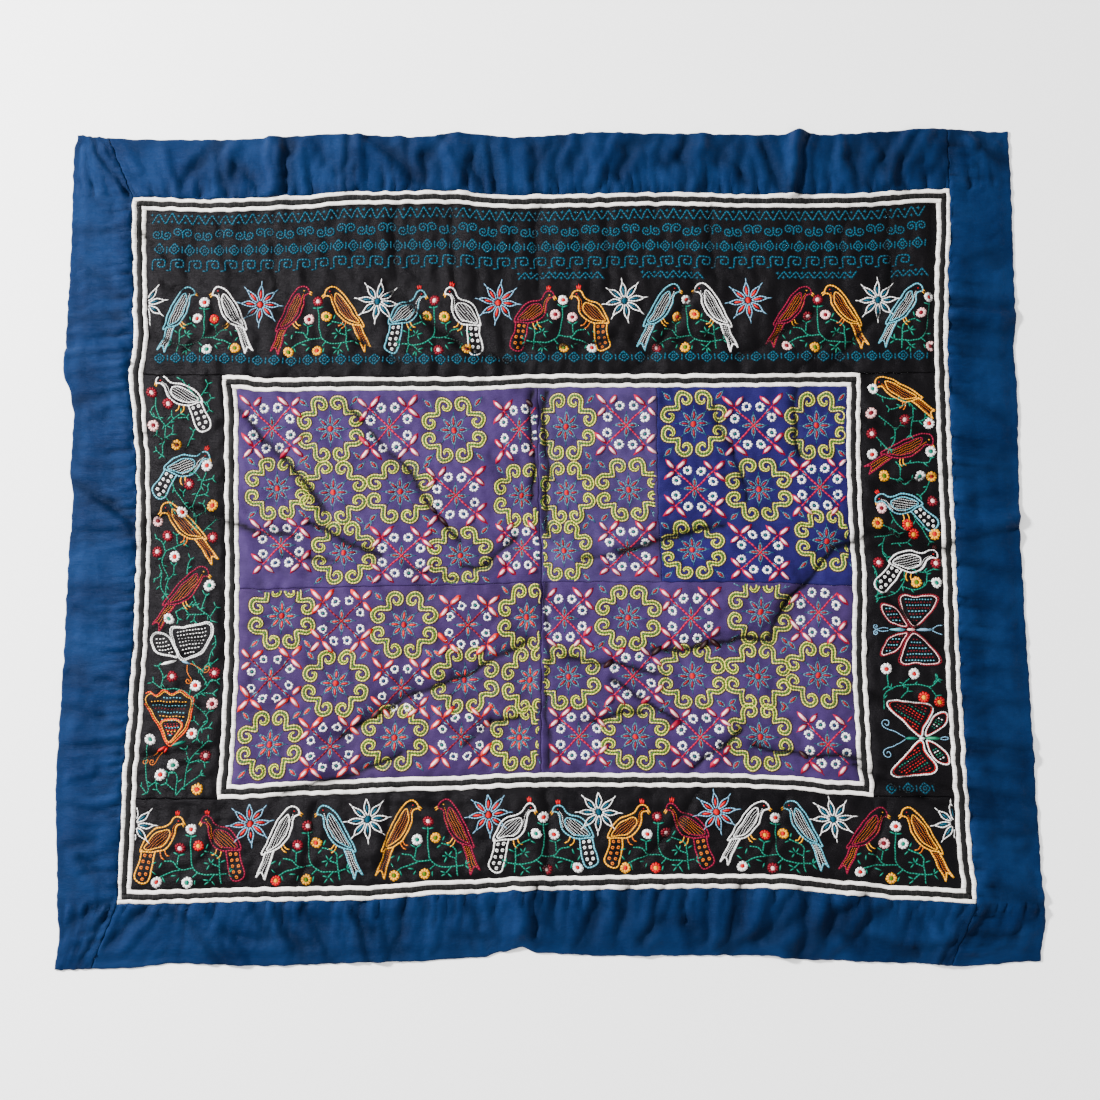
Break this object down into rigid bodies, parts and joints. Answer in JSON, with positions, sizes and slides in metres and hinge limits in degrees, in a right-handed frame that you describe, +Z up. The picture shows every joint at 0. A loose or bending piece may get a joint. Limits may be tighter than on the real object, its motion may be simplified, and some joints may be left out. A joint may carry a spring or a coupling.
{
  "type": "hmong story cloth",
  "caption": "Pieced and embroidered Hmong wall or bed cloth with a blue border, striped frames, black bands and a patterned centre, lying face up in soft creases.",
  "frame": {"origin": "on the surface, under the middle of the cloth's outline", "axes": "+X along the wide side, +Y towards the far edge with the tall black band, +Z up off the surface"},
  "size_m": [1.7542, 1.5246, 0.0132],
  "materials": {
    "blue_sateen": "soft sheen, puckered along its seams",
    "white_strip": "matt folded strip, stitched down",
    "black_strip": "matt folded strip, stitched down",
    "black_cloth": "smooth satin weave, softly creased",
    "purple_cloth": "smooth plain weave",
    "grey_purple_cloth": "smooth plain weave, a little faded",
    "royal_cloth": "smooth plain weave",
    "violet_cloth": "smooth plain weave",
    "embroidery_thread": "glossy stranded cotton in several colours"
  },
  "bodies": {
    "root": {"border_left": "blue_sateen", "border_right": "blue_sateen", "border_top": "blue_sateen", "border_bottom": "blue_sateen", "frame_outer_outer_white_top": "white_strip", "frame_outer_outer_white_bottom": "white_strip", "frame_outer_outer_white_left": "white_strip", "frame_outer_outer_white_right": "white_strip", "frame_outer_black_top": "black_strip", "frame_outer_black_bottom": "black_strip", "frame_outer_black_left": "black_strip", "frame_outer_black_right": "black_strip", "frame_outer_inner_white_top": "white_strip", "frame_outer_inner_white_bottom": "white_strip", "frame_outer_inner_white_left": "white_strip", "frame_outer_inner_white_right": "white_strip", "frame_inner_outer_white_top": "white_strip", "frame_inner_outer_white_bottom": "white_strip", "frame_inner_outer_white_left": "white_strip", "frame_inner_outer_white_right": "white_strip", "frame_inner_black_top": "black_strip", "frame_inner_black_bottom": "black_strip", "frame_inner_black_left": "black_strip", "frame_inner_black_right": "black_strip", "frame_inner_inner_white_top": "white_strip", "frame_inner_inner_white_bottom": "white_strip", "frame_inner_inner_white_left": "white_strip", "frame_inner_inner_white_right": "white_strip", "band_top": "black_cloth", "band_bottom": "black_cloth", "band_left": "black_cloth", "band_right": "black_cloth", "panel_upper_left": "purple_cloth", "panel_upper_middle": "grey_purple_cloth", "panel_upper_right": "royal_cloth", "panel_lower_left": "violet_cloth", "panel_lower_right": "purple_cloth"}
  },
  "joints": []
}
